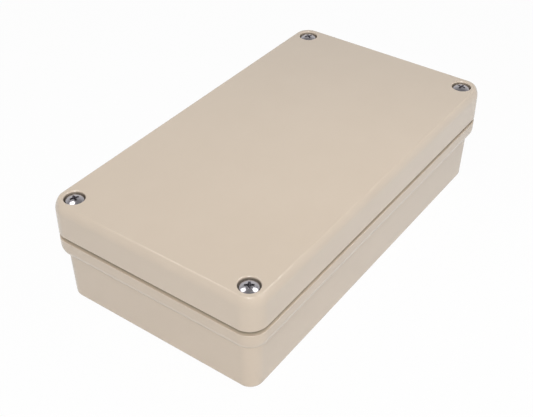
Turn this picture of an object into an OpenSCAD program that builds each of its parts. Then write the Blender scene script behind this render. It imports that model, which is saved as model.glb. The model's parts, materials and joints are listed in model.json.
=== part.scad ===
// Die cast aluminium box with a flanged base, a screwed lid and a gasket.
// Millimetres, Z up, the underside on z = 0 and the length along X.

/* [Box] */
// Length over the lid and the flange
box_l = 200; // [160:1:320]
// Width over the lid and the flange
box_w = 111.7; // [100:0.1:220]
// Height of the closed box
box_h = 54; // [50:0.5:110]
// Corner radius of the lid and the flange, seen from above
corner_r = 8.9; // [7:0.1:12]
// Small chamfer on the edges at the parting line
edge_break = 0.3; // [0.1:0.05:0.6]

/* [Base] */
// Height of the face that the lid sits on
base_h = 36.9; // [26:0.1:41]
// How far the flange stands out from the wall below it
flange_out = 2.65; // [2.3:0.05:4]
// Height of the flange's side
flange_h = 8.1; // [6.5:0.1:12]
// How far the flange's rounded lower edge reaches inwards
flange_round_in = 1.8; // [1:0.1:2.2]
// How far the flange's rounded lower edge reaches upwards
flange_round_up = 4.1; // [2:0.1:5.5]
// How far the fillet under the flange reaches out from the wall
flange_fillet_out = 0.8; // [0.2:0.05:1.2]
// How far the fillet under the flange reaches down the wall
flange_fillet_down = 1.6; // [0.4:0.1:3]
// Corner radius of the wall under the flange, seen from above
wall_corner_r = 7; // [5:0.1:10]
// Draft of the outside of the wall, in degrees
wall_draft = 1.2; // [0.2:0.1:1.5]
// Radius of the edge round the underside
foot_r = 1.6; // [0.5:0.1:2.2]
// Thickness of the wall under the flange
wall_t = 3.75; // [3.4:0.05:5]
// Thickness of the floor
floor_t = 3.5; // [2:0.1:6]
// Radius between the floor and the wall, inside
floor_r = 2; // [0.5:0.1:2.4]
// Draft of the inside walls of both castings, in degrees
inner_draft = 1; // [0.2:0.1:1.2]

/* [Shadow groove] */
// Height of the groove between the flange and the lid
groove_h = 2.2; // [0.8:0.1:3]
// Depth of the groove
groove_d = 2; // [1.2:0.1:2.2]

/* [Lid] */
// Thickness of the lid's top
lid_top_t = 3; // [2:0.1:5]
// Draft of the outside of the lid, in degrees
lid_draft = 0.7; // [0.2:0.1:1.5]
// Radius of the large rounding at the top of the lid's side
lid_round_r = 8; // [6:0.5:9]
// Tilt at which the crest takes over from the large rounding, in degrees
crest_tilt = 55; // [40:1:65]
// Radius of the crest, the small rounding between the large one and the flat top
crest_r = 0.8; // [0.4:0.1:1.5]
// Radius between the lid's top and its wall, inside
ceiling_r = 2; // [0.5:0.1:3]

/* [Seal] */
// Width of the face between the groove and the gasket's channel
land_w = 1.2; // [0.8:0.05:1.5]
// Width of the gasket's channel
channel_w = 2; // [1.8:0.1:2.3]
// Depth of the gasket's channel
channel_d = 2.6; // [2:0.1:4]
// Gap on each side of the gasket in its channel
gasket_gap = 0.1; // [0.05:0.01:0.15]
// Width of the rib under the lid that presses the gasket
rib_w = 1.6; // [1.2:0.1:1.6]
// Height of the rib
rib_h = 0.8; // [0.4:0.1:1.4]
// How far the lid's wall stands inwards of the rib
rib_set = 0.2; // [0.1:0.05:0.8]

/* [Wall mounting holes] */
// Distance of the mounting holes from the ends of the box
mount_in_l = 22; // [20:0.5:34]
// Distance of the mounting holes from the sides of the box
mount_in_w = 10.85; // [10:0.05:13]
// Diameter of the mounting holes
mount_d = 4.8; // [3:0.1:6.5]
// Diameter of the wells that take the heads of the mounting screws
well_d = 9.6; // [8:0.1:10.5]
// Thickness of the floor of the wells
well_floor_t = 5; // [3:0.1:10]

/* [Board bosses] */
// Distance of the bosses from the ends of the box
boss_in_l = 40; // [37:0.5:60]
// Distance of the bosses from the sides of the box
boss_in_w = 15.85; // [14:0.05:30]
// Diameter of the bosses
boss_d = 7; // [5:0.1:10]
// Height of the bosses above the floor
boss_h = 6; // [4:0.5:15]
// Diameter of the holes in the bosses
boss_hole_d = 2.5; // [2:0.1:4]
// Depth of the holes in the bosses
boss_hole_depth = 5.5; // [3:0.1:6]

/* [Lid screws] */
// Distance of the screws from the ends and the sides of the lid
screw_in = 8.9; // [8.8:0.1:10.5]
// Diameter of the thread
thread_d = 4; // [3:0.1:5]
// Gap round the thread in the base
thread_gap = 0.1; // [0.05:0.01:0.15]
// How deep the screws reach into the base
screw_reach = 7.2; // [5:0.1:12]
// How much deeper the holes in the base are
hole_spare = 3.4; // [1:0.1:6]
// Diameter of the thinner shank above the thread
shank_d = 3.2; // [2.4:0.1:3.6]
// Diameter of the heads
head_d = 8.4; // [6.5:0.1:8.8]
// Height of the heads
head_h = 3.1; // [2.9:0.1:4]
// Radius of the domed top of the heads
head_dome_r = 9; // [5.5:0.1:12]
// How far the top of a head lies below the lid
head_sunk = 0; // [0:0.05:1.5]
// Diameter of the recesses in the lid
recess_d = 9.5; // [9:0.1:10.6]
// Radius of the rounded mouth of the recesses
mouth_r = 0.6; // [0.2:0.05:1.2]
// Diameter of the holes that the screws pass through in the lid
lid_hole_d = 4.6; // [4.2:0.1:5.4]
// Thickness of the lid under the heads
web_t = 3.6; // [2:0.1:5]
// Width across the cross in the heads
cross_l = 4.4; // [3.5:0.1:5]
// Width of each slot of the cross
cross_w = 1.1; // [0.8:0.05:1.4]
// Depth of the cross
cross_d = 2.3; // [1.5:0.1:2.5]

/* [Retaining washers] */
// Outer diameter of the washers
washer_d = 8; // [6.5:0.1:8.4]
// Thickness of the washers
washer_t = 1; // [0.6:0.1:2]
// Gap between a washer's hole and the shank
washer_gap = 0.1; // [0.05:0.01:0.15]
// Height of the washers above the face that the lid sits on
washer_up = 1.4; // [0.8:0.1:3]
// Diameter of the pockets in the lid that the washers move in
pocket_d = 9; // [8.6:0.1:9.6]

/* [Hidden] */
$fn = 96;

// Corners as [end, side]: -1 is left or front, 1 is right or back
FRONT_LEFT = [-1, -1];
FRONT_RIGHT = [1, -1];
BACK_LEFT = [-1, 1];
BACK_RIGHT = [1, 1];
// How far each screw's cross is turned, in degrees
CROSS_FRONT_LEFT = 36;
CROSS_FRONT_RIGHT = 84;
CROSS_BACK_LEFT = 64;
CROSS_BACK_RIGHT = 56;

// Steps in each rounded edge, and the grid that its points lie on
round_steps = 9;
crest_steps = 4;
grid = 0.001;
// How far a cut runs past the face that it opens
past = 1;
// Angle of a drill's point
drill_angle = 118;

// The fillet under the flange, kept within the flat that the flange leaves it
fillet_out = min(flange_fillet_out, 0.95 * (flange_out - flange_round_in));

// Heights
flange_top_z = base_h - groove_h;
flange_z = flange_top_z - flange_h;
channel_z = base_h - channel_d;
rib_z = base_h - rib_h;
ceiling_z = box_h - lid_top_t;
seat_z = box_h - head_sunk - head_h;
pocket_top_z = seat_z - web_t;
thread_top_z = base_h + washer_up;
tip_z = base_h - screw_reach;

// Seal line, the middle of the gasket's channel, as seen from above
seal_in = groove_d + land_w + channel_w / 2;
seal_bend_r = mount_in_w - seal_in;
seal_well_r = well_d / 2 + land_w + channel_w / 2;
// Set-back of the inside walls from the seal line
base_set = wall_t + flange_out - seal_in;
lid_set = rib_w / 2 + rib_set;

// Part of an ellipse that rises from an upright side and ends level at height z
function round_up_to(w, h, z) =
    [for (i = [0:round_steps]) let (a = 90 * i / round_steps) [w * (1 - cos(a)), z - h * (1 - sin(a))]];

// Part of an ellipse that starts level at height z and ends at an upright side
function round_up_from(w, h, z) =
    [for (i = [round_steps:-1:0]) let (a = 90 * i / round_steps) [w * (1 - cos(a)), z + h * (1 - sin(a))]];

// Top edge of the lid: a large arc off the upright side, then the crest, which ends level at height z
function crested(z) =
    let (crest_in = lid_round_r * (1 - sin(crest_tilt)) + crest_r * sin(crest_tilt))
    let (crest_z = z - crest_r * (1 - cos(crest_tilt)))
    concat(
        [for (i = [0:round_steps]) let (a = 90 - (90 - crest_tilt) * i / round_steps)
            [lid_round_r * (1 - sin(a)), crest_z + lid_round_r * (cos(a) - cos(crest_tilt))]],
        [for (i = [1:crest_steps]) let (a = crest_tilt * (1 - i / crest_steps))
            [crest_in - crest_r * sin(a), z - crest_r * (1 - cos(a))]]
    );

// Fillet that flares out of an upright wall and ends level at height z
function flare_up_to(w, h, z) =
    [for (i = [0:round_steps]) let (a = 90 * i / round_steps) [-w * (1 - cos(a)), z - h * (1 - sin(a))]];

// The same profile on a fine grid, on which the straight and the round parts of a block meet exactly
function on_grid(profile) = [for (p = profile) [round(p[0] / grid) * grid, round(p[1] / grid) * grid]];

// The same profile leaning by a slope, with no change at height z
function drafted(profile, z, slope) = on_grid([for (p = profile) [p[0] + (p[1] - z) * slope, p[1]]]);

// Section of a block through its middle, from a profile of [set-back, height] points that rises
function full_section(half, profile) = concat(
    [for (p = profile) [half - p[0], p[1]]],
    [for (i = [len(profile) - 1:-1:0]) [profile[i][0] - half, profile[i][1]]]
);

// Section of a block from an axis outwards
function corner_section(r, profile) = concat(
    [[0, profile[0][1]]],
    [for (p = profile) [r - p[0], p[1]]],
    [[0, profile[len(profile) - 1][1]]]
);

// Block with rounded upright corners, whose sides follow a profile of [set-back, height] points
module rounded_block(l, w, r, profile) {
    translate([r - l / 2, 0, 0])
        rotate([90, 0, 90])
            linear_extrude(l - 2 * r)
                polygon(full_section(w / 2, profile));
    translate([0, w / 2 - r, 0])
        rotate([90, 0, 0])
            linear_extrude(w - 2 * r)
                polygon(full_section(l / 2, profile));
    for (quarter = [0:3]) {
        end = quarter == 0 || quarter == 3 ? 1 : -1;
        side = quarter < 2 ? 1 : -1;
        translate([end * (l / 2 - r), side * (w / 2 - r), 0])
            rotate([0, 0, 90 * quarter])
                rotate_extrude(angle = 90)
                    polygon(corner_section(r, profile));
    }
}

// Places its children at one corner, in_l from the end and in_w from the side, turned to face inwards
module at_corner(corner, in_l, in_w) {
    mirror([corner[0] > 0 ? 1 : 0, 0, 0])
        mirror([0, corner[1] > 0 ? 1 : 0, 0])
            translate([in_l - box_l / 2, in_w - box_w / 2, 0])
                children();
}

// Places its children at all four corners
module at_corners(in_l, in_w) {
    for (corner = [FRONT_LEFT, FRONT_RIGHT, BACK_LEFT, BACK_RIGHT])
        at_corner(corner, in_l, in_w)
            children();
}

// Space inside the seal line, its walls set back from that line and round the mounting wells
module inner_space(set, profile) {
    r = seal_bend_r - set;
    well_r = seal_well_r + set;
    reach_r = 1.5 * (well_r + max([for (p = profile) p[0]]));
    z_low = profile[0][1];
    z_high = profile[len(profile) - 1][1];
    rounded_block(box_l - 2 * (mount_in_l + well_r), box_w - 2 * (seal_in + set), r, profile);
    rounded_block(box_l - 2 * (seal_in + set), box_w - 2 * (mount_in_w + well_r), r, profile);
    at_corners(mount_in_l, mount_in_w)
        rotate_extrude(angle = 90)
            polygon(concat(
                [for (p = profile) [well_r + p[0], p[1]]],
                [[reach_r, z_high], [reach_r, z_low]]
            ));
}

// Quarter of a ring that starts at an angle, for a bend in the seal line
module ring_quarter(r, start, w, z_low, z_high) {
    rotate([0, 0, start])
        rotate_extrude(angle = 90)
            translate([r - w / 2, z_low])
                square([w, z_high - z_low]);
}

// Closed band of one width along the seal line
module seal_band(w, z_low, z_high) {
    h = z_high - z_low;
    bend_l = mount_in_l + seal_well_r + seal_bend_r;
    bend_w = mount_in_w + seal_well_r + seal_bend_r;
    side_l = box_l - 2 * bend_l;
    end_w = box_w - 2 * bend_w;
    for (side = [0, 1])
        mirror([0, side, 0])
            translate([-side_l / 2, seal_in - w / 2 - box_w / 2, z_low])
                cube([side_l, w, h]);
    for (end = [0, 1])
        mirror([end, 0, 0])
            translate([seal_in - w / 2 - box_l / 2, -end_w / 2, z_low])
                cube([w, end_w, h]);
    at_corners(bend_l, mount_in_w)
        ring_quarter(seal_bend_r, 180, w, z_low, z_high);
    at_corners(mount_in_l, mount_in_w)
        ring_quarter(seal_well_r, 0, w, z_low, z_high);
    at_corners(seal_in + seal_bend_r, bend_w)
        ring_quarter(seal_bend_r, 180, w, z_low, z_high);
    at_corners(seal_in + seal_bend_r, mount_in_w + seal_well_r)
        translate([0, -w / 2, z_low])
            cube([mount_in_l - seal_in - seal_bend_r, w, h]);
}

module base_outside() {
    wall_profile = drafted(
        concat(
            round_up_from(foot_r, foot_r, 0),
            flare_up_to(fillet_out, flange_fillet_down, flange_z),
            [[-fillet_out, flange_z + past]]
        ),
        flange_z,
        -tan(wall_draft)
    );
    flange_profile = on_grid(concat(
        round_up_from(flange_round_in, flange_round_up, flange_z),
        [
            [0, flange_top_z - edge_break],
            [edge_break, flange_top_z],
            [groove_d, flange_top_z],
            [groove_d, base_h]
        ]
    ));
    rounded_block(box_l - 2 * flange_out, box_w - 2 * flange_out, wall_corner_r, wall_profile);
    rounded_block(box_l, box_w, corner_r, flange_profile);
}

module board_boss() {
    difference() {
        translate([0, 0, floor_t - past])
            cylinder(h = boss_h + past, d = boss_d);
        translate([0, 0, floor_t + boss_h - boss_hole_depth])
            cylinder(h = boss_hole_depth + past, d = boss_hole_d);
    }
}

// Threaded hole, cut at the size of the thread, with the cone that a drill leaves at its end
module screw_hole() {
    r = thread_d / 2 + thread_gap;
    depth = screw_reach + hole_spare;
    translate([0, 0, base_h - depth])
        cylinder(h = depth + past, r = r);
    cone_h = r / tan(drill_angle / 2);
    translate([0, 0, base_h - depth - cone_h])
        cylinder(h = cone_h, r1 = 0, r2 = r);
}

module base() {
    space_profile = drafted(
        concat(round_up_from(floor_r, floor_r, floor_t), [[0, base_h + past]]),
        base_h,
        -tan(inner_draft)
    );
    color([0.80, 0.75, 0.68]) {
        difference() {
            base_outside();
            inner_space(base_set, space_profile);
            seal_band(channel_w, channel_z, base_h + past);
            at_corners(screw_in, screw_in)
                screw_hole();
            at_corners(mount_in_l, mount_in_w) {
                translate([0, 0, -past])
                    cylinder(h = well_floor_t + 2 * past, d = mount_d);
                translate([0, 0, well_floor_t])
                    cylinder(h = base_h - well_floor_t + past, d = well_d);
            }
        }
        at_corners(boss_in_l, boss_in_w)
            board_boss();
    }
}

// Recess for a screw's head, with a rounded mouth, above the hole for its shank and the washer's pocket
module screw_opening() {
    recess_r = recess_d / 2;
    mouth = [for (i = [0:round_steps]) let (a = 90 * i / round_steps)
        [recess_r + mouth_r * (1 - cos(a)), box_h - mouth_r * (1 - sin(a))]];
    rotate_extrude()
        polygon(concat(
            [[0, seat_z], [recess_r, seat_z]],
            mouth,
            [[recess_r + mouth_r, box_h + past], [0, box_h + past]]
        ));
    translate([0, 0, base_h])
        cylinder(h = box_h - base_h, d = lid_hole_d);
    translate([0, 0, base_h - past])
        cylinder(h = pocket_top_z - base_h + past, d = pocket_d);
}

module lid() {
    side_profile = drafted(
        concat(
            [[edge_break, base_h], [0, base_h + edge_break]],
            crested(box_h)
        ),
        base_h,
        tan(lid_draft)
    );
    space_profile = drafted(
        concat([[0, base_h - past]], round_up_to(ceiling_r, ceiling_r, ceiling_z)),
        base_h,
        tan(inner_draft)
    );
    color([0.83, 0.78, 0.71]) {
        difference() {
            rounded_block(box_l, box_w, corner_r, side_profile);
            inner_space(lid_set, space_profile);
            at_corners(screw_in, screw_in)
                screw_opening();
            at_corners(mount_in_l, mount_in_w)
                translate([0, 0, base_h - past])
                    cylinder(h = ceiling_z - base_h + past, d = well_d);
        }
        seal_band(rib_w, rib_z, base_h + past);
    }
}

module gasket() {
    color([0.16, 0.16, 0.17])
        seal_band(channel_w - 2 * gasket_gap, channel_z, rib_z);
}

// Cross recess that narrows towards its bottom, centred on the axis and open above z
module cross_recess(z) {
    top_half = cross_l / 2;
    low_half = cross_l / 4;
    for (turn = [0, 90])
        rotate([90, 0, turn])
            linear_extrude(cross_w, center = true)
                polygon([
                    [-low_half, z - cross_d],
                    [low_half, z - cross_d],
                    [top_half, z],
                    [top_half, z + past],
                    [-top_half, z + past],
                    [-top_half, z]
                ]);
}

// Pan head screw with a thinner shank between its head and its thread
module lid_screw(corner, cross_turn) {
    head_r = head_d / 2;
    crown_z = seat_z + head_h;
    chamfer = 0.15 * thread_d;
    dome = [for (i = [round_steps:-1:0]) let (x = head_r * i / round_steps)
        [x, crown_z - head_dome_r + sqrt(pow(head_dome_r, 2) - pow(x, 2))]];
    color([0.72, 0.72, 0.73])
        at_corner(corner, screw_in, screw_in)
            difference() {
                rotate_extrude()
                    polygon(concat(
                        [
                            [0, tip_z],
                            [thread_d / 2 - chamfer, tip_z],
                            [thread_d / 2, tip_z + chamfer],
                            [thread_d / 2, thread_top_z],
                            [shank_d / 2, thread_top_z],
                            [shank_d / 2, seat_z],
                            [head_r, seat_z]
                        ],
                        dome
                    ));
                rotate([0, 0, cross_turn * corner[0] * corner[1]])
                    cross_recess(crown_z);
            }
}

module retaining_washer(corner) {
    color([0.88, 0.87, 0.82])
        at_corner(corner, screw_in, screw_in)
            translate([0, 0, thread_top_z])
                difference() {
                    cylinder(h = washer_t, d = washer_d);
                    translate([0, 0, -past])
                        cylinder(h = washer_t + 2 * past, d = shank_d + 2 * washer_gap);
                }
}

base();
lid();
gasket();
lid_screw(FRONT_LEFT, CROSS_FRONT_LEFT);  // lid_screw_front_left
lid_screw(FRONT_RIGHT, CROSS_FRONT_RIGHT);  // lid_screw_front_right
lid_screw(BACK_LEFT, CROSS_BACK_LEFT);  // lid_screw_back_left
lid_screw(BACK_RIGHT, CROSS_BACK_RIGHT);  // lid_screw_back_right
retaining_washer(FRONT_LEFT);  // retaining_washer_front_left
retaining_washer(FRONT_RIGHT);  // retaining_washer_front_right
retaining_washer(BACK_LEFT);  // retaining_washer_back_left
retaining_washer(BACK_RIGHT);  // retaining_washer_back_right
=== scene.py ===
# Die cast aluminium box, dressed for its picture. Metres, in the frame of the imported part.
import json
import math

import bpy
from mathutils import Matrix, Vector


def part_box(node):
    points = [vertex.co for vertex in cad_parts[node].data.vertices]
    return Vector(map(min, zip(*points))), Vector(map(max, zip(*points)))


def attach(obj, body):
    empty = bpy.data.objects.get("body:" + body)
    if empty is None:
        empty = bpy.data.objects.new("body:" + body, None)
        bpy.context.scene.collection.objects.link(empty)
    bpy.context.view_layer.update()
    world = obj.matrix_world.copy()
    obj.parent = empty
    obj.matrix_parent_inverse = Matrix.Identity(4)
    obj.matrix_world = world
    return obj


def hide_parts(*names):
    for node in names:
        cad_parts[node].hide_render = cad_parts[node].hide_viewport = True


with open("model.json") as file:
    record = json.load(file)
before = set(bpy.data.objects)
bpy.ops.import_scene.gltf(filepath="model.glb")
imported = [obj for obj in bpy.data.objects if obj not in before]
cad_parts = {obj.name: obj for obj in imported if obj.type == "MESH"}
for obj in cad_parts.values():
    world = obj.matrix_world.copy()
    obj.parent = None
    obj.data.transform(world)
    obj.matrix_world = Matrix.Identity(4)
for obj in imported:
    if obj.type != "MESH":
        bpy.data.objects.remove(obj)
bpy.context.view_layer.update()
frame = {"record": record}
MM = 0.001

# Corners: end and side, with -1 for left or front, and the turn of the screw's cross in degrees
CORNERS = {
    "front_left": (-1, -1, 36),
    "front_right": (1, -1, 84),
    "back_left": (-1, 1, 64),
    "back_right": (1, 1, 56),
}

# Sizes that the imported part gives
base_low, base_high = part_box("base")
lid_low, lid_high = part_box("lid")
gasket_low, gasket_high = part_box("gasket")
screw_low, screw_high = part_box("lid_screw_front_left")
washer_low, washer_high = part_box("retaining_washer_front_left")
BOX_L = base_high.x - base_low.x
BOX_W = base_high.y - base_low.y
BOX_H = lid_high.z
BASE_H = base_high.z
CHANNEL_Z = gasket_low.z
RIB_Z = gasket_high.z
SCREW_IN = (screw_low.x + screw_high.x) / 2 - base_low.x
SCREW_X = BOX_L / 2 - SCREW_IN
SCREW_Y = BOX_W / 2 - SCREW_IN
HEAD_R = (screw_high.x - screw_low.x) / 2
TIP_Z = screw_low.z
WASHER_R = (washer_high.x - washer_low.x) / 2
WASHER_Z = washer_low.z
WASHER_T = washer_high.z - washer_low.z
MOUNTS = {mount["name"]: mount["dims"] for mount in frame["record"]["mounts"]}
WELL_X = MOUNTS["wall_mounting_holes"]["spacing_x_mm"] / 2 * MM
WELL_Y = MOUNTS["wall_mounting_holes"]["spacing_y_mm"] / 2 * MM
MOUNT_R = MOUNTS["wall_mounting_holes"]["hole_r_mm"] * MM
BOSS_X = MOUNTS["board_bosses"]["spacing_x_mm"] / 2 * MM
BOSS_Y = MOUNTS["board_bosses"]["spacing_y_mm"] / 2 * MM
BOSS_HOLE_R = MOUNTS["board_bosses"]["hole_r_mm"] * MM

# Castings
CORNER_R = 8.9 * MM
EDGE_R = 0.3 * MM
FLANGE_OUT = 2.65 * MM
FLANGE_H = 8.1 * MM
FLANGE_ROUND_IN = 1.8 * MM
FLANGE_ROUND_UP = 4.1 * MM
FLANGE_FILLET_OUT = 0.8 * MM
FLANGE_FILLET_DOWN = 1.6 * MM
WALL_CORNER_R = 7 * MM
WALL_SLOPE = math.tan(math.radians(1.2))
FOOT_R = 1.6 * MM
WALL_T = 3.75 * MM
FLOOR_T = 3.5 * MM
FLOOR_R = 2 * MM
INNER_SLOPE = math.tan(math.radians(1))
GROOVE_H = 2.2 * MM
GROOVE_D = 2 * MM
LID_TOP_T = 3 * MM
LID_SLOPE = math.tan(math.radians(0.7))
LID_ROUND_R = 8 * MM
CREST_R = 0.8 * MM
CREST_TILT = math.radians(55)
CEILING_R = 2 * MM
FLANGE_TOP_Z = BASE_H - GROOVE_H
FLANGE_Z = FLANGE_TOP_Z - FLANGE_H
CEILING_Z = BOX_H - LID_TOP_T

# Seal
LAND_W = 1.2 * MM
CHANNEL_W = 2 * MM
GASKET_W = 1.8 * MM
GASKET_ROUND = 0.3 * MM
RIB_W = 1.6 * MM
RIB_SET = 0.2 * MM
WELL_R = 4.8 * MM
WELL_FLOOR_T = 5 * MM
SEAL_IN = GROOVE_D + LAND_W + CHANNEL_W / 2
SEAL_BEND_R = BOX_W / 2 - WELL_Y - SEAL_IN
SEAL_WELL_R = WELL_R + LAND_W + CHANNEL_W / 2
BASE_SET = WALL_T + FLANGE_OUT - SEAL_IN
LID_SET = RIB_W / 2 + RIB_SET

# Bosses for a circuit board
BOSS_R = 3.5 * MM
BOSS_H = 6 * MM
BOSS_HOLE_DEPTH = 5.5 * MM
BOSS_FOOT_R = 0.8 * MM

# Lid screws and what they pass through
HEAD_H = 3.1 * MM
HEAD_DOME_R = 9 * MM
HEAD_EDGE_R = 0.15 * MM
HEAD_CHAMFER = 0.2 * MM
CROWN_Z = screw_high.z
SEAT_Z = CROWN_Z - HEAD_H
SHANK_R = 1.6 * MM
THREAD_R = 2 * MM
THREAD_PITCH = 0.7 * MM
THREAD_DEPTH = 0.42 * MM
THREAD_CHAMFER = 0.6 * MM
CROSS_L = 4.4 * MM
CROSS_W = 1.1 * MM
CROSS_D = 2.3 * MM
CROSS_CORE_R = 1.05 * MM
HOLE_R = 2.1 * MM
HOLE_DEPTH = 10.6 * MM
DRILL_ANGLE = math.radians(118)
RECESS_R = 4.75 * MM
MOUTH_R = 0.6 * MM
LID_HOLE_R = 2.3 * MM
WEB_T = 3.6 * MM
POCKET_R = 4.5 * MM
WASHER_HOLE_R = 1.7 * MM
WASHER_ROUND = 0.12 * MM

# Fineness of the meshes
CORNER_STEPS = 24
ROUND_STEPS = 16
MOUTH_STEPS = 10
FILLET_STEPS = 8
HEAD_EDGE_STEPS = 8
EDGE_STEPS = 4
TURN_STEPS = 96
CROSS_STEPS = 48
THREAD_ROWS = 16
THREAD_STEPS = 48

# How far a cut runs past a face, and the angle between two faces from which their edge is crisp
PAST = 1 * MM
SHARP = math.radians(28)

# The values that a noise mostly keeps to
NOISE_LOW = 0.3
NOISE_HIGH = 0.7


def arc(x, y, radius, start, end, steps=CORNER_STEPS):
    """Points of an arc between two angles in degrees, with both its ends."""
    angles = [math.radians(start + (end - start) * i / steps) for i in range(steps + 1)]
    return [(x + radius * math.cos(a), y + radius * math.sin(a)) for a in angles]


def four_corners(length, width, corner):
    """Closed outline of four like corners, from the distances inwards of the front left one."""
    outline = []
    for end, side in ((-1, -1), (1, -1), (1, 1), (-1, 1)):
        placed = [(end * (length / 2 - u), side * (width / 2 - v)) for u, v in corner]
        outline += placed if end == side else placed[::-1]
    return outline


def rounded_rectangle(length, width, radius):
    return four_corners(length, width, arc(radius, radius, radius, 180, 270))


def seal_outline(inset):
    """Outline at a distance inside the seal line, which bends in round each mounting well."""
    bend_r = SEAL_BEND_R - inset
    well_in_l = BOX_L / 2 - WELL_X
    well_in_w = BOX_W / 2 - WELL_Y
    reach = SEAL_WELL_R + SEAL_BEND_R
    end_bend = arc(SEAL_IN + SEAL_BEND_R, well_in_w + reach, bend_r, 180, 270)
    well = arc(well_in_l, well_in_w, SEAL_WELL_R + inset, 90, 0)
    side_bend = arc(well_in_l + reach, well_in_w, bend_r, 180, 270)
    return four_corners(BOX_L, BOX_W, end_bend + well + side_bend[1:])


def at_height(outline, z):
    return [(x, y, z) for x, y in outline]


def quarter_angles(steps):
    return [math.pi / 2 * i / steps for i in range(steps + 1)]


def round_up_to(wide, high, z, steps=ROUND_STEPS):
    """Rounded edge that rises from an upright side to end level at z, as (inset, height)."""
    return [(wide * (1 - math.cos(a)), z - high * (1 - math.sin(a))) for a in quarter_angles(steps)]


def round_up_from(wide, high, z, steps=ROUND_STEPS):
    """Rounded edge that starts level at z and rises to an upright side, as (inset, height)."""
    angles = reversed(quarter_angles(steps))
    return [(wide * (1 - math.cos(a)), z + high * (1 - math.sin(a))) for a in angles]


def crested(z):
    """Large rounding that rises from an upright side and turns over a tight crest, level at z."""
    cosine, sine = math.cos(CREST_TILT), math.sin(CREST_TILT)
    centre_z = z - CREST_R * (1 - cosine) - LID_ROUND_R * cosine
    start_in = LID_ROUND_R * (1 - sine) + CREST_R * sine
    upright = math.pi / 2
    rise = [upright + (CREST_TILT - upright) * i / ROUND_STEPS for i in range(ROUND_STEPS + 1)]
    crest_steps = ROUND_STEPS // 2
    turn = [CREST_TILT * (1 - i / crest_steps) for i in range(1, crest_steps + 1)]
    return (
        [(LID_ROUND_R * (1 - math.sin(a)), centre_z + LID_ROUND_R * math.cos(a)) for a in rise]
        + [(start_in - CREST_R * math.sin(a), z - CREST_R * (1 - math.cos(a))) for a in turn]
    )


def drafted(profile, z, slope):
    """The same profile leaning by a slope, with no change at height z."""
    return [(inset + (height - z) * slope, height) for inset, height in profile]


def loft(rings, closed=False):
    """Points and faces through rings of equal count, with flat ends or joined into a loop."""
    count = len(rings[0])
    points = [point for ring in rings for point in ring]
    pairs = [(low, low + 1) for low in range(len(rings) - 1)]
    if closed:
        pairs.append((len(rings) - 1, 0))
    faces = []
    for low, high in pairs:
        for i in range(count):
            j = (i + 1) % count
            faces.append((low * count + i, low * count + j, high * count + j, high * count + i))
    if not closed:
        faces.append(tuple(reversed(range(count))))
        faces.append(tuple(range(len(points) - count, len(points))))
    return points, faces


def block_rings(length, width, radius, profile):
    """Rings of a block with rounded corners, whose sides follow (inset, height) points."""
    return [
        at_height(rounded_rectangle(length - 2 * inset, width - 2 * inset, radius - inset), z)
        for inset, z in profile
    ]


def seal_rings(inset, profile):
    """Rings that follow the seal line, from (further inset, height) points."""
    return [at_height(seal_outline(inset + further), z) for further, z in profile]


def turned_rings(x, y, profile, steps=TURN_STEPS):
    """Rings of a solid of revolution on an upright axis, from (radius, height) points."""
    return [at_height(arc(x, y, radius, 0, 360, steps)[:-1], z) for radius, z in profile]


def seal_band(width, low, high, round_r=0):
    """Closed band along the seal line, with rounded upper edges where round_r is given."""
    half = width / 2
    outer = [(-half, low), (-half, high)]
    inner = [(half, high), (half, low)]
    if round_r:
        edge = round_up_to(round_r, round_r, high, EDGE_STEPS)
        outer = [(-half, low)] + [(inset - half, z) for inset, z in edge]
        inner = [(half - inset, z) for inset, z in reversed(edge)] + [(half, low)]
    return loft(seal_rings(0, outer + inner), closed=True)


def mesh_object(name, *parts):
    """Object with one mesh from several (points, faces) parts."""
    points, faces = [], []
    for part_points, part_faces in parts:
        first = len(points)
        points += part_points
        faces += [tuple(first + i for i in face) for face in part_faces]
    mesh = bpy.data.meshes.new(name)
    mesh.from_pydata(points, [], faces)
    mesh.update()
    obj = bpy.data.objects.new(name, mesh)
    bpy.context.scene.collection.objects.link(obj)
    return obj


def combine(obj, other, operation):
    """Adds the other solid to obj or cuts it away, and deletes the other."""
    modifier = obj.modifiers.new(operation, "BOOLEAN")
    modifier.operation = operation
    modifier.solver = "EXACT"
    modifier.object = other
    evaluated = obj.evaluated_get(bpy.context.evaluated_depsgraph_get())
    rough = obj.data
    obj.data = bpy.data.meshes.new_from_object(evaluated)
    obj.modifiers.clear()
    bpy.data.meshes.remove(rough)
    bpy.data.objects.remove(other)


def smooth(obj):
    """Smooth shading with crisp edges, and flat faces that stay flat beside rounded ones."""
    obj.data.shade_smooth()
    obj.data.set_sharp_from_angle(angle=SHARP)
    modifier = obj.modifiers.new("weighted normals", "WEIGHTED_NORMAL")
    modifier.keep_sharp = True


def dress(obj, node, body, material):
    """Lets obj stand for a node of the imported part, ride on its body and wear a material."""
    smooth(obj)
    obj.data.materials.clear()
    obj.data.materials.append(material)
    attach(obj, body)
    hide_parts(node)


def noise(tree, coordinates, scale, detail=2.0):
    """Noise texture of a number of cells a metre."""
    node = tree.nodes.new("ShaderNodeTexNoise")
    node.inputs["Scale"].default_value = scale
    node.inputs["Detail"].default_value = detail
    tree.links.new(coordinates, node.inputs["Vector"])
    return node.outputs["Fac"]


def spread(tree, value, low=0, high=1):
    """The value of a noise, spread over a range."""
    node = tree.nodes.new("ShaderNodeMapRange")
    node.inputs["From Min"].default_value = NOISE_LOW
    node.inputs["From Max"].default_value = NOISE_HIGH
    node.inputs["To Min"].default_value = low
    node.inputs["To Max"].default_value = high
    tree.links.new(value, node.inputs["Value"])
    return node.outputs["Result"]


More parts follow.
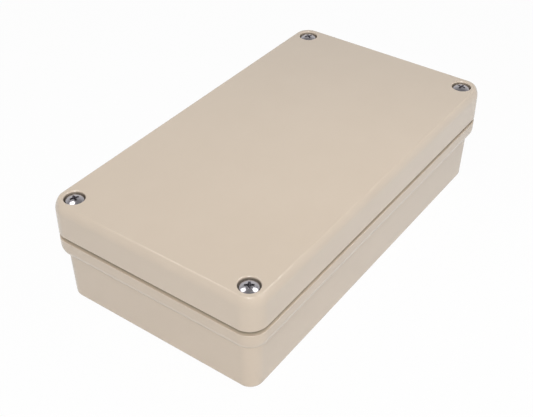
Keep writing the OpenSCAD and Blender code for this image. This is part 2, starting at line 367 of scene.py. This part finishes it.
def blend_colours(tree, value, first, second):
    """Colour between two, by a value from 0 to 1."""
    node = tree.nodes.new("ShaderNodeMix")
    node.data_type = "RGBA"
    node.inputs["A"].default_value = (*first, 1)
    node.inputs["B"].default_value = (*second, 1)
    tree.links.new(value, node.inputs["Factor"])
    return node.outputs["Result"]


def bump(tree, height, distance, strength, normal=None):
    """Bump from a height in units of distance, on top of another bump where one is given."""
    node = tree.nodes.new("ShaderNodeBump")
    node.inputs["Distance"].default_value = distance
    node.inputs["Strength"].default_value = strength
    tree.links.new(height, node.inputs["Height"])
    if normal:
        tree.links.new(normal, node.inputs["Normal"])
    return node.outputs["Normal"]


def surface(name, **uniform):
    """New material: its node tree, its shader and the coordinates of the object, in metres."""
    material = bpy.data.materials.new(name)
    material.use_nodes = True
    tree = material.node_tree
    shader = tree.nodes["Principled BSDF"]
    for socket, value in uniform.items():
        shader.inputs[socket.replace("_", " ")].default_value = value
    coordinates = tree.nodes.new("ShaderNodeTexCoord").outputs["Object"]
    return material, tree, shader, coordinates


def vector_math(tree, operation, first, second=None):
    """Vector operation on a linked vector and, where it takes one, a plain second vector."""
    node = tree.nodes.new("ShaderNodeVectorMath")
    node.operation = operation
    tree.links.new(first, node.inputs[0])
    if second is not None:
        node.inputs[1].default_value = second
    return node


def within(tree, value, low, high):
    """1 where a value lies between two others, 0 elsewhere."""
    node = tree.nodes.new("ShaderNodeMath")
    node.operation = "COMPARE"
    tree.links.new(value, node.inputs[0])
    node.inputs[1].default_value = (low + high) / 2
    node.inputs[2].default_value = (high - low) / 2
    return node.outputs[0]


def sunk_share(tree, value, mouth, bottom, *insides):
    """How deep a point lies in a hollow: 0 at its mouth and outside it, 1 at its bottom."""
    depth = tree.nodes.new("ShaderNodeMapRange")
    depth.inputs["From Min"].default_value = mouth
    depth.inputs["From Max"].default_value = bottom
    tree.links.new(value, depth.inputs["Value"])
    share = depth.outputs["Result"]
    for inside in insides:
        product = tree.nodes.new("ShaderNodeMath")
        product.operation = "MULTIPLY"
        tree.links.new(share, product.inputs[0])
        tree.links.new(inside, product.inputs[1])
        share = product.outputs[0]
    return share


def painted_shade_shares(tree, place):
    """Shares of painted shade: how deep a point lies in the shadow groove, and how deep in a recess
    for a screw's head.
    """
    margin = 0.05 * MM
    groove_mouth, groove_bottom = CORNER_R - 0.3 * GROOVE_D, CORNER_R - GROOVE_D
    recess_mouth, recess_bottom = BOX_H - 0.5 * MOUTH_R, BOX_H - 2 * MOUTH_R
    past_middle = vector_math(tree, "ABSOLUTE", place).outputs["Vector"]
    split = tree.nodes.new("ShaderNodeSeparateXYZ")
    tree.links.new(place, split.inputs["Vector"])
    height = split.outputs["Z"]
    straight = (BOX_L / 2 - CORNER_R, BOX_W / 2 - CORNER_R, 1)
    corner = vector_math(tree, "SUBTRACT", past_middle, straight).outputs["Vector"]
    corner = vector_math(tree, "MAXIMUM", corner, (0, 0, 0)).outputs["Vector"]
    reach = vector_math(tree, "LENGTH", corner).outputs["Value"]
    groove = sunk_share(
        tree, reach, groove_mouth, groove_bottom,
        within(tree, reach, groove_bottom - margin, CORNER_R),
        within(tree, height, FLANGE_TOP_Z - margin, BASE_H + margin),
    )
    flat = vector_math(tree, "MULTIPLY", past_middle, (1, 1, 0)).outputs["Vector"]
    away = vector_math(tree, "DISTANCE", flat, (SCREW_X, SCREW_Y, 0)).outputs["Value"]
    recess = sunk_share(
        tree, height, recess_mouth, recess_bottom,
        within(tree, away, -margin, RECESS_R + margin),
        within(tree, height, SEAT_Z - margin, BOX_H),
    )
    return groove, recess


def product_node(tree, colour):
    """Node that multiplies a colour by a second one, as far as its factor says."""
    node = tree.nodes.new("ShaderNodeMix")
    node.data_type = "RGBA"
    node.blend_type = "MULTIPLY"
    tree.links.new(colour, node.inputs["A"])
    return node


def with_painted_shade(tree, colour, tint, share):
    """Colour multiplied by a tint of painted shade, as far as the share at each point says."""
    node = product_node(tree, colour)
    tree.links.new(share, node.inputs["Factor"])
    node.inputs["B"].default_value = (*tint, 1)
    return node.outputs["Result"]


def grained(tree, colour, grain, darkest, factor):
    """Colour multiplied by one factor with a grain, which runs from its darkest tint to white."""
    node = product_node(tree, colour)
    node.inputs["Factor"].default_value = factor
    tree.links.new(blend_colours(tree, grain, darkest, (1, 1, 1)), node.inputs["B"])
    return node.outputs["Result"]


def powder_coat(name, skin):
    """Beige powder coat under some clear skin: faint peel and grains, with painted shade darkening
    the shadow groove and the screw recesses.
    """
    material, tree, shader, place = surface(
        name, Metallic=0.0, IOR=1.5, Coat_Weight=skin, Coat_Roughness=0.06, Coat_IOR=1.6
    )
    tone = spread(tree, noise(tree, place, scale=45, detail=3.0))
    grain = spread(tree, noise(tree, place, scale=1900, detail=1.0))
    groove, recess = painted_shade_shares(tree, place)
    colour = blend_colours(tree, tone, (0.628, 0.525, 0.418), (0.640, 0.537, 0.430))
    colour = grained(tree, colour, grain, darkest=(0.985, 0.983, 0.980), factor=0.5)
    # Painted shade: the colour is darkened deep in the shadow groove and in the recesses round the
    # screw heads, where shade falls
    colour = with_painted_shade(tree, colour, (0.57, 0.60, 0.58), groove)
    colour = with_painted_shade(tree, colour, (0.45, 0.45, 0.45), recess)
    tree.links.new(colour, shader.inputs["Base Color"])
    gloss = spread(tree, noise(tree, place, scale=300), low=0.21, high=0.24)
    tree.links.new(gloss, shader.inputs["Roughness"])
    peel_height = noise(tree, place, scale=620, detail=1.5)
    peel = bump(tree, peel_height, distance=0.03 * MM, strength=0.08)
    grain_height = noise(tree, place, scale=2600, detail=1.0)
    grains = bump(tree, grain_height, distance=0.012 * MM, strength=0.1, normal=peel)
    tree.links.new(grains, shader.inputs["Normal"])
    return material


def screw_steel():
    """Bright nickel plate: fine turning marks round the screw's axis, small changes of gloss."""
    material, tree, shader, place = surface("screw_steel", Metallic=1.0)
    tone = spread(tree, noise(tree, place, scale=900, detail=3.0))
    colour = blend_colours(tree, tone, (0.350, 0.335, 0.355), (0.440, 0.420, 0.440))
    tree.links.new(colour, shader.inputs["Base Color"])
    gloss = spread(tree, noise(tree, place, scale=1500), low=0.14, high=0.22)
    tree.links.new(gloss, shader.inputs["Roughness"])
    rings = tree.nodes.new("ShaderNodeTexWave")
    rings.wave_type = "RINGS"
    rings.rings_direction = "Z"
    rings.inputs["Scale"].default_value = 1200
    rings.inputs["Distortion"].default_value = 1.5
    rings.inputs["Detail"].default_value = 2
    tree.links.new(place, rings.inputs["Vector"])
    marks = bump(tree, rings.outputs["Fac"], distance=0.004 * MM, strength=0.25)
    dent_height = noise(tree, place, scale=2400)
    dents = bump(tree, dent_height, distance=0.01 * MM, strength=0.2, normal=marks)
    tree.links.new(dents, shader.inputs["Normal"])
    return material


def gasket_rubber():
    """Black seal: dull, with a faint bloom and a fine open skin."""
    material, tree, shader, place = surface("gasket_rubber", Metallic=0.0, IOR=1.5)
    bloom = spread(tree, noise(tree, place, scale=160, detail=3.0))
    colour = blend_colours(tree, bloom, (0.020, 0.020, 0.023), (0.034, 0.034, 0.037))
    tree.links.new(colour, shader.inputs["Base Color"])
    gloss = spread(tree, noise(tree, place, scale=500), low=0.62, high=0.8)
    tree.links.new(gloss, shader.inputs["Roughness"])
    skin = bump(tree, noise(tree, place, scale=3200), distance=0.02 * MM, strength=0.5)
    tree.links.new(skin, shader.inputs["Normal"])
    return material


def washer_plastic():
    """Natural nylon: off-white, slightly translucent, with a fine moulded skin."""
    material, tree, shader, place = surface(
        "washer_plastic", Metallic=0.0, IOR=1.53, Subsurface_Weight=0.2,
        Subsurface_Radius=(0.8 * MM, 0.7 * MM, 0.5 * MM), Subsurface_Scale=1.0,
    )
    tone = spread(tree, noise(tree, place, scale=400, detail=3.0))
    colour = blend_colours(tree, tone, (0.735, 0.715, 0.625), (0.765, 0.745, 0.660))
    tree.links.new(colour, shader.inputs["Base Color"])
    gloss = spread(tree, noise(tree, place, scale=900), low=0.36, high=0.5)
    tree.links.new(gloss, shader.inputs["Roughness"])
    skin_height = noise(tree, place, scale=2800, detail=1.0)
    skin = bump(tree, skin_height, distance=0.01 * MM, strength=0.4)
    tree.links.new(skin, shader.inputs["Normal"])
    return material


def corner_places(across, along):
    """The four places that lie across and along from the middle of the box."""
    return [(end * across, side * along) for end, side, _ in CORNERS.values()]


def make_base(material):
    fillet = [
        (-FLANGE_FILLET_OUT * (1 - math.cos(a)), FLANGE_Z - FLANGE_FILLET_DOWN * (1 - math.sin(a)))
        for a in quarter_angles(FILLET_STEPS)
    ]
    wall = drafted(round_up_from(FOOT_R, FOOT_R, 0) + fillet, FLANGE_Z, -WALL_SLOPE)
    flange = (
        round_up_from(FLANGE_ROUND_IN, FLANGE_ROUND_UP, FLANGE_Z)
        + round_up_to(EDGE_R, EDGE_R, FLANGE_TOP_Z, EDGE_STEPS)
        + [(GROOVE_D, FLANGE_TOP_Z), (GROOVE_D, BASE_H)]
    )
    outside = loft(
        block_rings(BOX_L - 2 * FLANGE_OUT, BOX_W - 2 * FLANGE_OUT, WALL_CORNER_R, wall)
        + block_rings(BOX_L, BOX_W, CORNER_R, flange)
    )
    space = drafted(
        round_up_from(FLOOR_R, FLOOR_R, FLOOR_T) + [(0, BASE_H + PAST)], BASE_H, -INNER_SLOPE
    )
    well = [
        (MOUNT_R, -PAST),
        (MOUNT_R, WELL_FLOOR_T),
        (WELL_R, WELL_FLOOR_T),
        (WELL_R, BASE_H + PAST),
    ]
    hole_z = BASE_H - HOLE_DEPTH
    drill_h = HOLE_R / math.tan(DRILL_ANGLE / 2)
    drill_tip_r = 0.02 * HOLE_R
    hole = [(drill_tip_r, hole_z - drill_h), (HOLE_R, hole_z), (HOLE_R, BASE_H + PAST)]
    boss_top = FLOOR_T + BOSS_H
    foot = round_up_from(BOSS_FOOT_R, BOSS_FOOT_R, 0, FILLET_STEPS)
    boss = (
        [(BOSS_R + BOSS_FOOT_R, FLOOR_T - PAST)]
        + [(BOSS_R + BOSS_FOOT_R - rise, FLOOR_T + BOSS_FOOT_R - run) for run, rise in foot]
        + [(BOSS_R, boss_top), (BOSS_HOLE_R, boss_top), (BOSS_HOLE_R, boss_top - BOSS_HOLE_DEPTH)]
    )
    base = mesh_object("base_casting", outside)
    cuts = [loft(seal_rings(BASE_SET, space)), seal_band(CHANNEL_W, CHANNEL_Z, BASE_H + PAST)]
    cuts += [loft(turned_rings(x, y, well)) for x, y in corner_places(WELL_X, WELL_Y)]
    cuts += [loft(turned_rings(x, y, hole)) for x, y in corner_places(SCREW_X, SCREW_Y)]
    combine(base, mesh_object("base_cuts", *cuts), "DIFFERENCE")
    bosses = [loft(turned_rings(x, y, boss)) for x, y in corner_places(BOSS_X, BOSS_Y)]
    combine(base, mesh_object("base_bosses", *bosses), "UNION")
    dress(base, "base", "base", material)


def make_lid(material):
    side = drafted(
        round_up_from(EDGE_R, EDGE_R, BASE_H, EDGE_STEPS) + crested(BOX_H), BASE_H, LID_SLOPE
    )
    space = drafted(
        [(0, BASE_H - PAST)] + round_up_to(CEILING_R, CEILING_R, CEILING_Z), BASE_H, INNER_SLOPE
    )
    edge = round_up_to(MOUTH_R, MOUTH_R, BOX_H, MOUTH_STEPS)
    mouth = [(RECESS_R + inset, z) for inset, z in edge]
    opening = (
        [(POCKET_R, BASE_H - PAST), (POCKET_R, SEAT_Z - WEB_T), (LID_HOLE_R, SEAT_Z - WEB_T)]
        + [(LID_HOLE_R, SEAT_Z), (RECESS_R, SEAT_Z)]
        + mouth
        + [(RECESS_R + MOUTH_R, BOX_H + PAST)]
    )
    well = [(WELL_R, BASE_H - PAST), (WELL_R, CEILING_Z)]
    lid = mesh_object("lid_casting", loft(block_rings(BOX_L, BOX_W, CORNER_R, side)))
    cuts = [loft(seal_rings(LID_SET, space))]
    cuts += [loft(turned_rings(x, y, opening)) for x, y in corner_places(SCREW_X, SCREW_Y)]
    cuts += [loft(turned_rings(x, y, well)) for x, y in corner_places(WELL_X, WELL_Y)]
    combine(lid, mesh_object("lid_cuts", *cuts), "DIFFERENCE")
    combine(lid, mesh_object("lid_rib", seal_band(RIB_W, RIB_Z, BASE_H + PAST / 2)), "UNION")
    dress(lid, "lid", "lid", material)


def make_gasket(material):
    gasket = mesh_object("gasket_seal", seal_band(GASKET_W, CHANNEL_Z, RIB_Z, GASKET_ROUND))
    dress(gasket, "gasket", "base", material)


def thread_radius(row):
    """Radius at one of the rows of a turn: a flat crest, two flanks and a flat root."""
    share = row / THREAD_ROWS
    crest, flank, root = 0.125, 0.3125, 0.25
    if share <= crest:
        return THREAD_R
    if share <= crest + flank:
        return THREAD_R - THREAD_DEPTH * (share - crest) / flank
    if share <= crest + flank + root:
        return THREAD_R - THREAD_DEPTH
    return THREAD_R - THREAD_DEPTH * (1 - share) / flank


def thread_rings(low, high):
    """Rings of a helical thread between two heights, whose points climb one pitch a turn."""
    rings = []
    rows = math.ceil((high - low) / THREAD_PITCH + 1) * THREAD_ROWS
    for row in range(rows + 1):
        ring = []
        for step in range(THREAD_STEPS):
            turn = step / THREAD_STEPS
            z = low + THREAD_PITCH * (row / THREAD_ROWS + turn - 1)
            radius = thread_radius(row % THREAD_ROWS)
            z = min(max(z, low), high)
            radius = min(radius, THREAD_R - THREAD_CHAMFER + z - low, SHANK_R + high - z)
            ring.append((radius * math.cos(math.tau * turn), radius * math.sin(math.tau * turn), z))
        rings.append(ring)
    return rings


def cross_cut(top):
    """Cross recess: four tapering arms and a cone between them, open above the head."""
    parts = []
    for turn in (0, 90):
        rings = []
        for z, half_l, half_w in (
            (top - CROSS_D, CROSS_L / 4, CROSS_W * 0.32),
            (top - 0.12 * CROSS_D, CROSS_L / 2 * 0.94, CROSS_W * 0.46),
            (top + PAST, CROSS_L / 2, CROSS_W / 2),
        ):
            arm_corner_r = 0.6 * half_w
            arm = rounded_rectangle(2 * half_l, 2 * half_w, arm_corner_r)
            if turn:
                arm = [(-y, x) for x, y in arm]
            rings.append(at_height(arm, z))
        parts.append(loft(rings))
    core_tip = (0.3 * CROSS_CORE_R, top - CROSS_D - 0.1 * MM)
    core = [core_tip, (CROSS_CORE_R, top), (CROSS_CORE_R, top + PAST)]
    parts.append(loft(turned_rings(0, 0, core, CROSS_STEPS)))
    return parts


def make_screw(name, material):
    """Pan head screw with a domed head, a cross recess, a thinner shank and a real thread."""
    end, side, cross_turn = CORNERS[name]
    thread_top = WASHER_Z - TIP_Z
    seat = SEAT_Z - TIP_Z
    crown = CROWN_Z - TIP_Z
    dome_z = crown - HEAD_DOME_R
    reach = HEAD_R - HEAD_EDGE_R
    rim_turn = math.asin(reach / (HEAD_DOME_R - HEAD_EDGE_R))
    dome = [rim_turn * (1 - i / ROUND_STEPS) for i in range(1, ROUND_STEPS)]
    upright = math.pi / 2
    edge = [
        upright + (rim_turn - upright) * i / HEAD_EDGE_STEPS for i in range(HEAD_EDGE_STEPS + 1)
    ]
    edge_z = dome_z + (HEAD_DOME_R - HEAD_EDGE_R) * math.cos(rim_turn)
    middle_r = 0.01 * HEAD_R
    head = [
        (SHANK_R, thread_top),
        (SHANK_R, seat),
        (HEAD_R - HEAD_CHAMFER, seat),
        (HEAD_R, seat + HEAD_CHAMFER),
    ]
    head += [(reach + HEAD_EDGE_R * math.sin(a), edge_z + HEAD_EDGE_R * math.cos(a)) for a in edge]
    head += [(HEAD_DOME_R * math.sin(a), dome_z + HEAD_DOME_R * math.cos(a)) for a in dome]
    head.append((middle_r, crown))
    screw = mesh_object("screw_" + name, loft(turned_rings(0, 0, head)))
    for number, part in enumerate(cross_cut(crown)):
        combine(screw, mesh_object(f"cross_{number}", part), "DIFFERENCE")
    thread = mesh_object("thread_" + name, loft(thread_rings(0, thread_top)))
    upright_screw = Matrix.Translation((end * SCREW_X, side * SCREW_Y, TIP_Z))
    screw.matrix_world = upright_screw @ Matrix.Rotation(math.radians(cross_turn), 4, "Z")
    thread.matrix_world = upright_screw
    for piece in (screw, thread):
        dress(piece, "lid_screw_" + name, "screw_" + name, material)


def make_washer(name, material):
    """Flat washer with broken outer edges."""
    end, side, _ = CORNERS[name]
    rings = turned_rings(0, 0, [
        (WASHER_HOLE_R, 0),
        (WASHER_R - WASHER_ROUND, 0),
        (WASHER_R, WASHER_ROUND),
        (WASHER_R, WASHER_T - WASHER_ROUND),
        (WASHER_R - WASHER_ROUND, WASHER_T),
        (WASHER_HOLE_R, WASHER_T),
    ])
    washer = mesh_object("washer_" + name, loft(rings, closed=True))
    washer.location = (end * SCREW_X, side * SCREW_Y, WASHER_Z)
    dress(washer, "retaining_washer_" + name, "washer_" + name, material)


def seen_ray(tree):
    """1 for rays from the camera and those that a gloss or a clear piece sends on, else 0."""
    rays = tree.nodes.new("ShaderNodeLightPath")
    seen = rays.outputs["Is Camera Ray"]
    for kind in ("Is Glossy Ray", "Is Transmission Ray"):
        either = tree.nodes.new("ShaderNodeMath")
        either.operation = "MAXIMUM"
        tree.links.new(seen, either.inputs[0])
        tree.links.new(rays.outputs[kind], either.inputs[1])
        seen = either.outputs[0]
    return seen


def paper_floor():
    """White paper that looks white to the camera and in reflections, and keeps a faint shadow."""
    half, white_share = 6, 0.96
    corners = [(-half, -half, 0), (half, -half, 0), (half, half, 0), (-half, half, 0)]
    floor = mesh_object("floor", (corners, [(0, 1, 2, 3)]))
    material = bpy.data.materials.new("white_paper")
    material.use_nodes = True
    tree = material.node_tree
    paper = tree.nodes["Principled BSDF"]
    paper.inputs["Base Color"].default_value = (0.8, 0.8, 0.8, 1)
    paper.inputs["Roughness"].default_value = 0.9
    white = tree.nodes.new("ShaderNodeEmission")
    mix = tree.nodes.new("ShaderNodeMixShader")
    share = tree.nodes.new("ShaderNodeMath")
    share.operation = "MULTIPLY"
    share.inputs[1].default_value = white_share
    tree.links.new(seen_ray(tree), share.inputs[0])
    tree.links.new(share.outputs[0], mix.inputs["Fac"])
    tree.links.new(paper.outputs["BSDF"], mix.inputs[1])
    tree.links.new(white.outputs["Emission"], mix.inputs[2])
    tree.links.new(mix.outputs["Shader"], tree.nodes["Material Output"].inputs["Surface"])
    floor.data.materials.append(material)


def overhead_dim(tree, least):
    """Strength of the world in reflections: 1 round the sides, and the least one overhead."""
    start, end = math.radians(25), math.radians(60)
    direction = tree.nodes.new("ShaderNodeTexCoord").outputs["Generated"]
    split = tree.nodes.new("ShaderNodeSeparateXYZ")
    tree.links.new(direction, split.inputs["Vector"])
    fall = tree.nodes.new("ShaderNodeMapRange")
    fall.inputs["From Min"].default_value = math.sin(start)
    fall.inputs["From Max"].default_value = math.sin(end)
    fall.inputs["To Min"].default_value = 1
    fall.inputs["To Max"].default_value = least
    tree.links.new(split.outputs["Z"], fall.inputs["Value"])
    glossy = tree.nodes.new("ShaderNodeLightPath").outputs["Is Glossy Ray"]
    blend = tree.nodes.new("ShaderNodeMix")
    blend.inputs["A"].default_value = 1
    tree.links.new(glossy, blend.inputs["Factor"])
    tree.links.new(fall.outputs["Result"], blend.inputs["B"])
    return blend.outputs["Result"]


def white_world(strength, overhead):
    """Even soft light from all round, which the camera and reflections see as white."""
    world = bpy.data.worlds.new("studio")
    bpy.context.scene.world = world
    world.use_nodes = True
    tree = world.node_tree
    light = tree.nodes["Background"]
    light.inputs["Color"].default_value = (1, 1, 1, 1)
    light.inputs["Strength"].default_value = strength
    white = tree.nodes.new("ShaderNodeBackground")
    white.inputs["Color"].default_value = (1, 1, 1, 1)
    tree.links.new(overhead_dim(tree, overhead), white.inputs["Strength"])
    mix = tree.nodes.new("ShaderNodeMixShader")
    tree.links.new(seen_ray(tree), mix.inputs["Fac"])
    tree.links.new(light.outputs["Background"], mix.inputs[1])
    tree.links.new(white.outputs["Background"], mix.inputs[2])
    tree.links.new(mix.outputs["Shader"], tree.nodes["World Output"].inputs["Surface"])


def panel(name, place_mm, towards_mm, size_mm, watts):
    """Round soft light at a place, facing another."""
    data = bpy.data.lights.new(name, "AREA")
    data.shape = "DISK"
    data.size = size_mm * MM
    data.energy = watts
    lamp = bpy.data.objects.new(name, data)
    bpy.context.scene.collection.objects.link(lamp)
    place, towards = Vector(place_mm) * MM, Vector(towards_mm) * MM
    lamp.location = place
    lamp.rotation_mode = "QUATERNION"
    lamp.rotation_quaternion = (towards - place).to_track_quat("-Z", "Y")


def photo_camera():
    """Camera that was fitted to the outline of the box in the photograph."""
    azimuth, elevation = math.radians(-54.32), math.radians(38.32)
    distance, shift_right, shift_up = 464.41 * MM, -8.405 * MM, 8.727 * MM
    image_width, focal_length = 533, 914.49
    back = Vector((
        math.sin(azimuth) * math.cos(elevation),
        -math.cos(azimuth) * math.cos(elevation),
        math.sin(elevation),
    ))
    right = Vector((math.cos(azimuth), math.sin(azimuth), 0))
    up = back.cross(right)
    data = bpy.data.cameras.new("photo_camera")
    data.sensor_width = 36
    data.lens = data.sensor_width * focal_length / image_width
    data.clip_start = 10 * MM
    data.clip_end = 50
    camera = bpy.data.objects.new("photo_camera", data)
    bpy.context.scene.collection.objects.link(camera)
    camera.matrix_world = Matrix((
        (right.x, up.x, back.x, 0),
        (right.y, up.y, back.y, 0),
        (right.z, up.z, back.z, 0),
        (0, 0, 0, 1),
    ))
    camera.location = back * distance + right * shift_right + up * shift_up
    bpy.context.scene.camera = camera


photo_camera()
steel = screw_steel()
nylon = washer_plastic()
make_base(powder_coat("powder_coat_base", skin=0.12))
make_lid(powder_coat("powder_coat_lid", skin=0.35))
make_gasket(gasket_rubber())
for corner in CORNERS:
    make_screw(corner, steel)
    make_washer(corner, nylon)
paper_floor()
white_world(strength=0.2, overhead=0.38)
front_left_screw, middle = (-91, -47, 54), (0, 0, 30)
panel("panel_left", (-104, 154, 358), front_left_screw, size_mm=140, watts=0.23)
panel("panel_right", (32, -92, 267), front_left_screw, size_mm=98, watts=0.14)
panel("softbox", (-760, -546, 900), middle, size_mm=700, watts=10.6)
panel("fill", (300, -900, 350), middle, size_mm=600, watts=0.9)
bpy.context.scene.view_settings.view_transform = "Standard"
